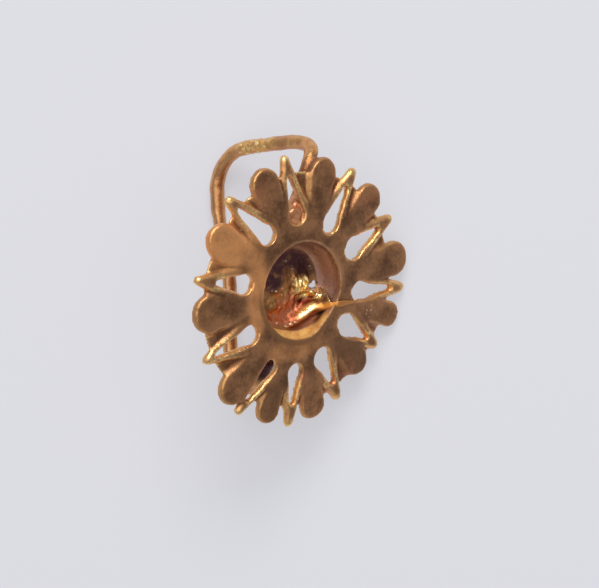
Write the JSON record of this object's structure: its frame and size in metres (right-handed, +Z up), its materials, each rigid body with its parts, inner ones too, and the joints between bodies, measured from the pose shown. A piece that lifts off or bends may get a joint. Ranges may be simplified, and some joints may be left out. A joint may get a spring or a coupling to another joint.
{
  "type": "disc earring",
  "caption": "Gold disc earring: a pierced petal rosette with a central cup that holds torn crumpled gold sheet, and a round wire ear hook soldered behind it.",
  "frame": {"origin": "middle of the box that the lying earring fills, on the surface that it lies on", "axes": "+Z up from the surface; +Y towards the hook's crown and the disc's 12 o'clock, seen from above; +X completes the frame, and the disc's front faces up and to +X"},
  "size_m": [0.0112, 0.015, 0.0096],
  "materials": {
    "worn_gold": "worn old gold with brown patina",
    "crumpled_gold": "thin crumpled gold sheet, orange and red in the folds"
  },
  "bodies": {
    "root": {"disc_and_ear_hook": "worn_gold", "cup_lining": "crumpled_gold"}
  },
  "joints": []
}
